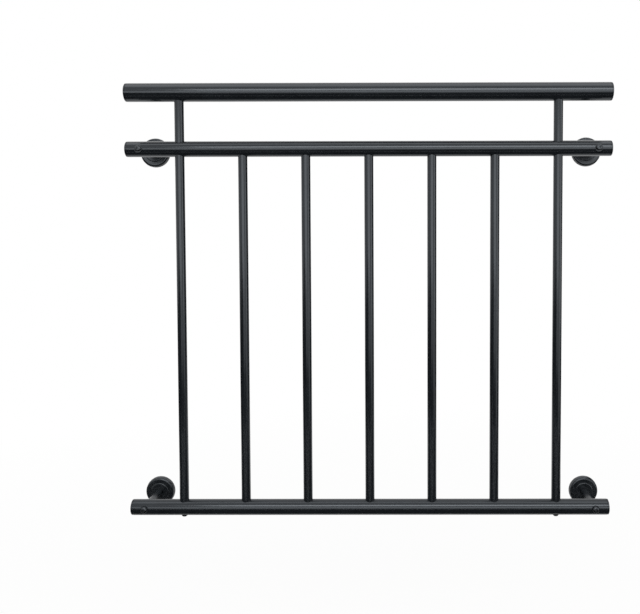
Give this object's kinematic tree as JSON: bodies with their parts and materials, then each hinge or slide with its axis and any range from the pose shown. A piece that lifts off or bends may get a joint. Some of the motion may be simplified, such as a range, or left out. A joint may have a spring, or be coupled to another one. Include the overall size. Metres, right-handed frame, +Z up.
{
  "type": "juliet balcony",
  "caption": "Juliet balcony railing of dark powder-coated round steel tube: handrail and rails with upright bars, held off the wall on standoff brackets with stepped round covers.",
  "frame": {"origin": "centre of the lower left wall flange, on its wall face; left and right are as seen from outside, facing the wall", "axes": "+X along the rails to the right as seen from outside, +Y into the wall, +Z up"},
  "size_m": [1.003, 0.1196, 0.9154],
  "materials": {
    "powder_coat": "anthracite powder coat, semi-gloss",
    "screw_coat": "anthracite coated screw, semi-gloss"
  },
  "bodies": {
    "root": {"handrail": "powder_coat", "upper_rail": "powder_coat", "lower_rail": "powder_coat", "handrail_cap_left": "powder_coat", "handrail_cap_right": "powder_coat", "upper_rail_cap_left": "powder_coat", "upper_rail_cap_right": "powder_coat", "lower_rail_cap_left": "powder_coat", "lower_rail_cap_right": "powder_coat", "post_left": "powder_coat", "post_right": "powder_coat", "baluster_1": "powder_coat", "baluster_2": "powder_coat", "baluster_3": "powder_coat", "baluster_4": "powder_coat", "baluster_5": "powder_coat", "standoff_lower_left": "powder_coat", "standoff_lower_right": "powder_coat", "standoff_upper_left": "powder_coat", "standoff_upper_right": "powder_coat", "wall_flange_lower_left": "powder_coat", "wall_flange_lower_right": "powder_coat", "wall_flange_upper_left": "powder_coat", "wall_flange_upper_right": "powder_coat", "cover_rosette_lower_left": "powder_coat", "cover_rosette_lower_right": "powder_coat", "cover_rosette_upper_left": "powder_coat", "cover_rosette_upper_right": "powder_coat", "saddle_washer_lower_left": "powder_coat", "saddle_washer_lower_right": "powder_coat", "saddle_washer_upper_left": "powder_coat", "saddle_washer_upper_right": "powder_coat", "bracket_screw_lower_left": "screw_coat", "bracket_screw_lower_right": "screw_coat", "bracket_screw_upper_left": "screw_coat", "bracket_screw_upper_right": "screw_coat", "post_screw_left": "screw_coat", "post_screw_right": "screw_coat"}
  },
  "joints": []
}
